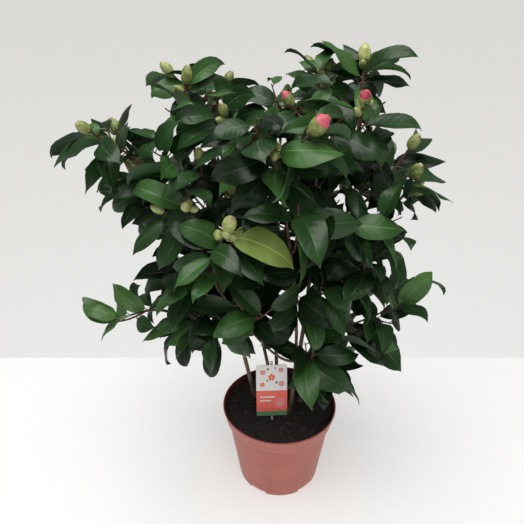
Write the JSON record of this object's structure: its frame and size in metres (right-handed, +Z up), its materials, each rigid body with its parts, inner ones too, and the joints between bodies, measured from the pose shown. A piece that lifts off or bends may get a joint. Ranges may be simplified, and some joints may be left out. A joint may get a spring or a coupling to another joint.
{
  "type": "potted camellia shrub",
  "caption": "Bushy evergreen camellia shrub in bud, with upright stems and glossy pointed leaves, growing in a round plastic nursery pot with a plant label.",
  "frame": {"origin": "centre of the pot's flat underside", "axes": "+Z up, -Y to the front of the shrub, +X to the right seen from the front"},
  "size_m": [0.5487, 0.4127, 0.7073],
  "materials": {
    "pot": "satin terracotta-coloured plastic",
    "soil": "dark moist potting soil",
    "label": null,
    "bark": "thin brown bark",
    "foliage": "glossy dark green leaves with yellow-green buds"
  },
  "bodies": {
    "root": {"pot": "pot", "soil": "soil", "label": "label", "stem_centre": "bark", "stem_east": "bark", "stem_front": "bark", "stem_mideast": "bark", "stem_northeast": "bark", "stem_northwest": "bark", "stem_west": "bark", "bough_far_east": "bark", "bough_far_west": "bark", "bough_front_west": "bark", "bough_low_east": "bark", "bough_low_front": "bark", "bough_low_west": "bark", "foliage_back_centre": "foliage", "foliage_back_east": "foliage", "foliage_back_inner_east": "foliage", "foliage_back_low_centre": "foliage", "foliage_back_low_east": "foliage", "foliage_back_low_west": "foliage", "foliage_back_middle": "foliage", "foliage_back_top_east": "foliage", "foliage_back_top_west": "foliage", "foliage_back_west": "foliage", "foliage_far_east": "foliage", "foliage_far_west": "foliage", "foliage_front_east": "foliage", "foliage_front_middle": "foliage", "foliage_front_right": "foliage", "foliage_front_top": "foliage", "foliage_front_west": "foliage", "foliage_hanging_east": "foliage", "foliage_hanging_west": "foliage", "foliage_inner_east": "foliage", "foliage_inner_front": "foliage", "foliage_inner_west": "foliage", "foliage_low_east": "foliage", "foliage_low_front": "foliage", "foliage_low_middle": "foliage", "foliage_low_west": "foliage", "foliage_middle_east": "foliage", "foliage_middle_west": "foliage", "foliage_outer_east": "foliage", "foliage_shoulder_west": "foliage", "foliage_side_west": "foliage", "foliage_skirt_east": "foliage", "foliage_skirt_west": "foliage", "foliage_top_centre": "foliage", "foliage_top_east": "foliage", "foliage_top_inner_west": "foliage", "foliage_top_mideast": "foliage", "foliage_top_west": "foliage", "foliage_upper_east": "foliage", "foliage_upper_mideast": "foliage", "foliage_upper_west": "foliage"}
  },
  "joints": []
}
